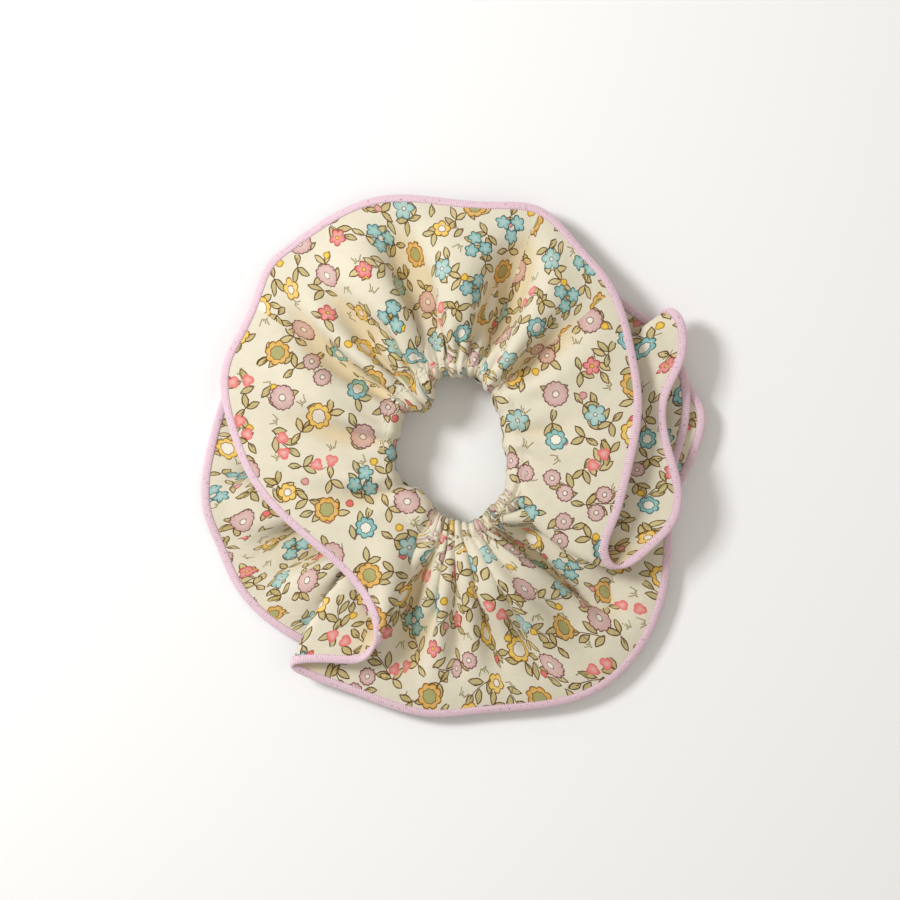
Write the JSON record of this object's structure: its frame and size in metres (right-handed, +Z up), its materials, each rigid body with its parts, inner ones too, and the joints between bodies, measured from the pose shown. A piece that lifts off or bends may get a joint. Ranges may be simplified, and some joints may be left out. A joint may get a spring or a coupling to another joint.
{
  "type": "scrunchie",
  "caption": "Wide double-ruffled hair scrunchie in floral cotton with overlocked edges, gathered on a hidden elastic that stretches open round a ponytail.",
  "frame": {"origin": "centre of the hair hole on the table that the scrunchie lies on", "axes": "+Z up through the hair hole, +X the way the elastic is pulled open, +Y towards the top seam's side"},
  "size_m": [0.153, 0.161, 0.0195],
  "materials": {
    "print": "printed cotton lawn, soft matt",
    "overlock_thread": "pale pink overlock thread, slight sheen",
    "sewing_thread": "cream sewing thread",
    "elastic": "white braided elastic"
  },
  "bodies": {
    "left_side": {"hair_ply_long_left": "print", "hair_ply_short_left": "print", "outer_ply_long_left": "print", "outer_ply_short_left": "print", "hair_ply_seam_left": "sewing_thread", "outer_ply_seam_left": "sewing_thread", "elastic_left": "elastic", "casing_row_front_left": "sewing_thread", "casing_row_back_left": "sewing_thread", "overlock_front_left": "overlock_thread", "overlock_back_left": "overlock_thread", "elastic_lapped_end": "elastic", "elastic_join_stitch": "sewing_thread"},
    "right_side": {"hair_ply_long_right": "print", "hair_ply_short_right": "print", "outer_ply_long_right": "print", "outer_ply_short_right": "print", "elastic_right": "elastic", "casing_row_front_right": "sewing_thread", "casing_row_back_right": "sewing_thread", "overlock_front_right": "overlock_thread", "overlock_back_right": "overlock_thread", "hair_ply_seam_top": "sewing_thread", "outer_ply_seam_top": "sewing_thread"}
  },
  "joints": [
    {"name": "stretch", "type": "slide", "parent": "left_side", "child": "right_side", "axis": [1, 0, 0], "range_m": [0, 0.05], "stiffness_N_per_m": 55}
  ]
}
